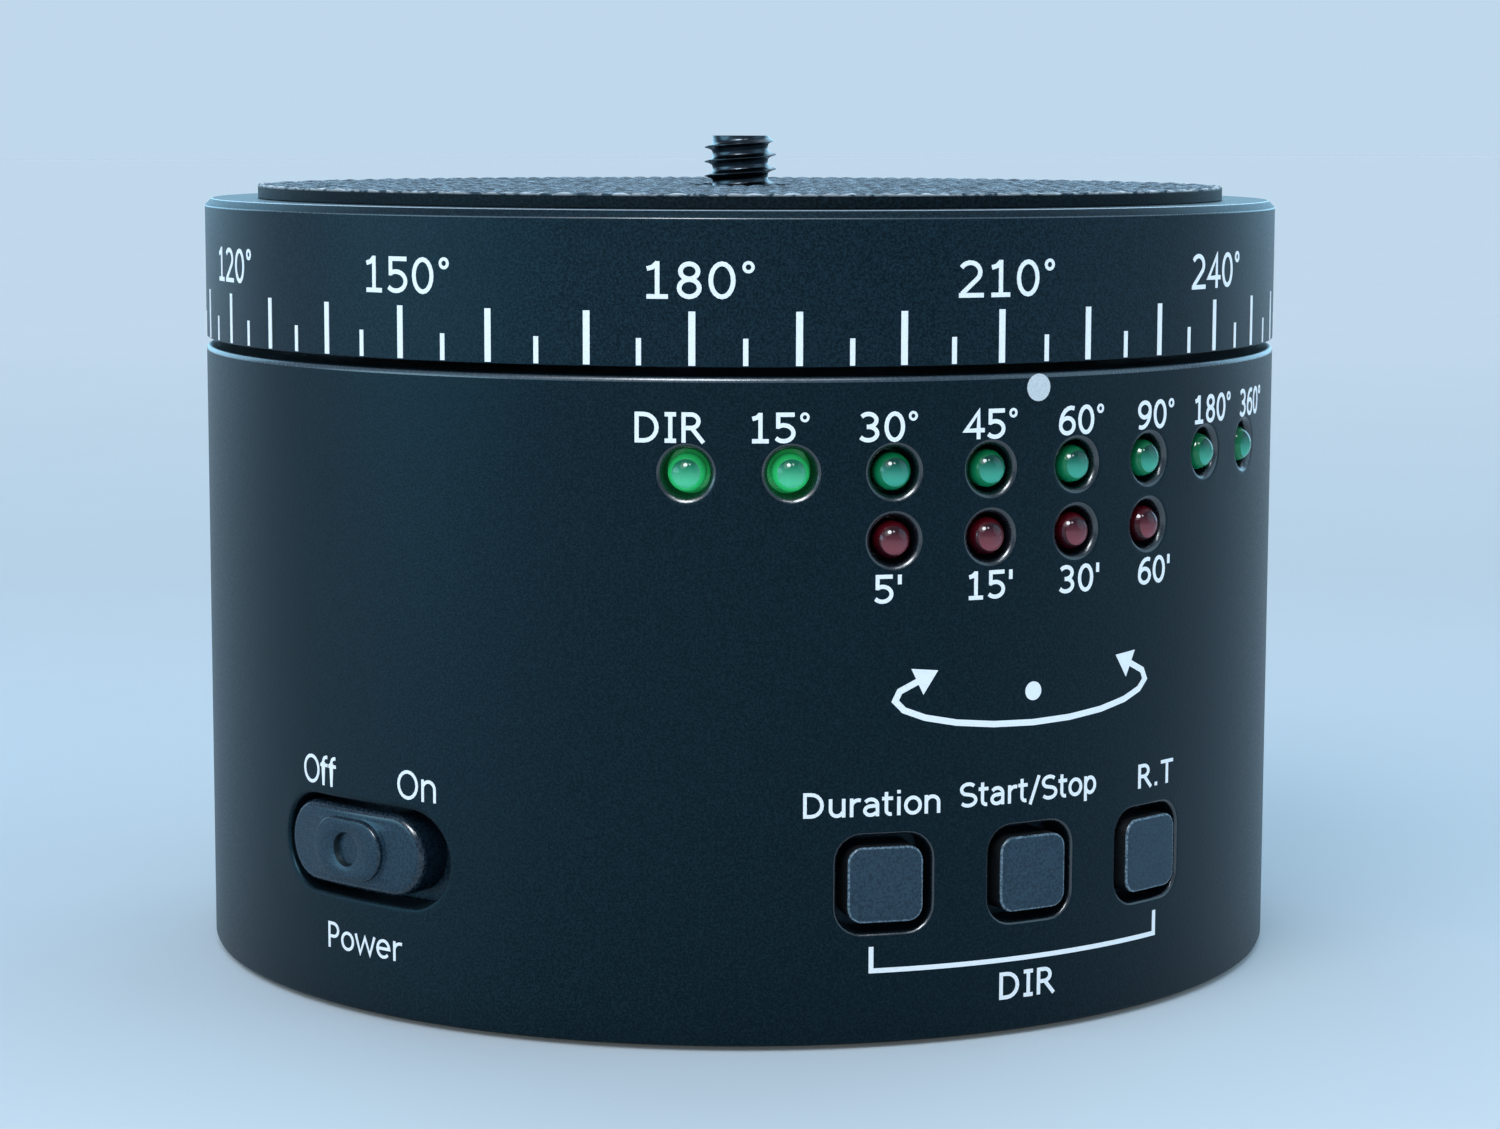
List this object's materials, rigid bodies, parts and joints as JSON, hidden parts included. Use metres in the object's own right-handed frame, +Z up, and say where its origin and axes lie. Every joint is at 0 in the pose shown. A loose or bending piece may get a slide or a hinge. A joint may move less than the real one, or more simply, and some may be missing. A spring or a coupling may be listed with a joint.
{
  "type": "motorised panning head",
  "caption": "Round motorised panning head: a dark metal drum with indicator lights, push buttons and a power slider, under a turning dial with a degree scale, rubber pad and camera screw.",
  "frame": {"origin": "centre of the base, on the floor it stands on", "axes": "+Z up along the turning axis; -Y is the front, with the index dot and the start button"},
  "size_m": [0.094, 0.0944, 0.0707],
  "materials": {
    "anodised_metal": "satin",
    "base_metal": "satin",
    "base_rubber": "matte",
    "top_rubber": "satin",
    "steel": "satin",
    "black_steel": "satin",
    "brass": "satin",
    "gear_plastic": "satin",
    "black_plastic": "satin",
    "board_green": "satin",
    "green_lens": "gloss",
    "red_lens": "gloss",
    "battery_wrap": "satin",
    "white_ink": "satin",
    "cable_grey": "satin"
  },
  "bodies": {
    "base": {"housing": "anodised_metal", "base_plate": "base_metal", "base_pad": "base_rubber", "tripod_bush": "steel", "thread_adapter": "brass", "base_screw_1": "black_steel", "base_screw_2": "black_steel", "base_screw_3": "black_steel", "base_screw_4": "black_steel", "motor_can": "steel", "gearhead": "steel", "motor_screw_1": "steel", "motor_screw_2": "steel", "bearing_outer_race": "steel", "angle_led_1": "green_lens", "angle_led_2": "green_lens", "angle_led_3": "green_lens", "angle_led_4": "green_lens", "angle_led_5": "green_lens", "angle_led_6": "green_lens", "angle_led_7": "green_lens", "angle_led_8": "green_lens", "time_led_1": "red_lens", "time_led_2": "red_lens", "time_led_3": "red_lens", "time_led_4": "red_lens", "led_board": "board_green", "control_board": "board_green", "duration_switch": "black_plastic", "start_switch": "black_plastic", "return_switch": "black_plastic", "slide_switch": "steel", "battery_cradle": "black_plastic", "battery_cell": "battery_wrap", "charging_socket": "steel", "board_cable": "cable_grey", "motor_lead": "cable_grey", "battery_lead": "cable_grey"},
    "platform": {"dial": "anodised_metal", "ring_gear": "gear_plastic", "spindle": "steel", "spindle_nut": "steel", "thrust_washer": "brass", "camera_screw": "black_steel", "top_pad": "top_rubber", "dial_screw_1": "steel", "dial_screw_2": "steel", "dial_screw_3": "steel", "bearing_inner_race": "steel"},
    "cage": {"bearing_cage": "brass"},
    "drive": {"output_shaft": "steel", "drive_pinion": "brass"},
    "duration_button": {"duration_cap": "black_plastic", "duration_plunger": "gear_plastic"},
    "start_button": {"start_cap": "black_plastic", "start_plunger": "gear_plastic"},
    "return_button": {"return_cap": "black_plastic", "return_plunger": "gear_plastic"},
    "power_slider": {"power_knob": "black_plastic"},
    "switch_contact": {"switch_lever": "gear_plastic"}
  },
  "joints": [
    {"name": "platform_turn", "type": "hinge", "parent": "base", "child": "platform", "pos_m": [0, 0, 0], "axis": [0, 0, 1], "continuous": true},
    {"name": "cage_turn", "type": "hinge", "parent": "base", "child": "cage", "pos_m": [0, 0, 0], "axis": [0, 0, 1], "continuous": true},
    {"name": "pinion_turn", "type": "hinge", "parent": "base", "child": "drive", "pos_m": [0, 0.028, 0], "axis": [0, 0, 1], "continuous": true},
    {"name": "duration_press", "type": "slide", "parent": "base", "child": "duration_button", "axis": [0.2672, 0.9636, 0], "range_m": [0, 0.0005], "stiffness_N_per_m": 1500, "springref_m": -0.0003},
    {"name": "start_press", "type": "slide", "parent": "base", "child": "start_button", "axis": [0, 1, 0], "range_m": [0, 0.0005], "stiffness_N_per_m": 1500, "springref_m": -0.0003},
    {"name": "return_press", "type": "slide", "parent": "base", "child": "return_button", "axis": [-0.2672, 0.9636, 0], "range_m": [0, 0.0005], "stiffness_N_per_m": 1500, "springref_m": -0.0003},
    {"name": "power_slide", "type": "hinge", "parent": "base", "child": "power_slider", "pos_m": [0, 0, 0], "axis": [0, 0, 1], "range_deg": [0, 3]},
    {"name": "contact_slide", "type": "slide", "parent": "base", "child": "switch_contact", "axis": [0.3404, -0.9403, 0], "range_m": [0, 0.0024]}
  ],
  "couplings": [
    {"joint": "cage_turn", "follows": "platform_turn", "ratio": 0.43269},
    {"joint": "pinion_turn", "follows": "platform_turn", "ratio": 4.5},
    {"joint": "contact_slide", "follows": "power_slide", "m_per_rad": 0.0415}
  ]
}
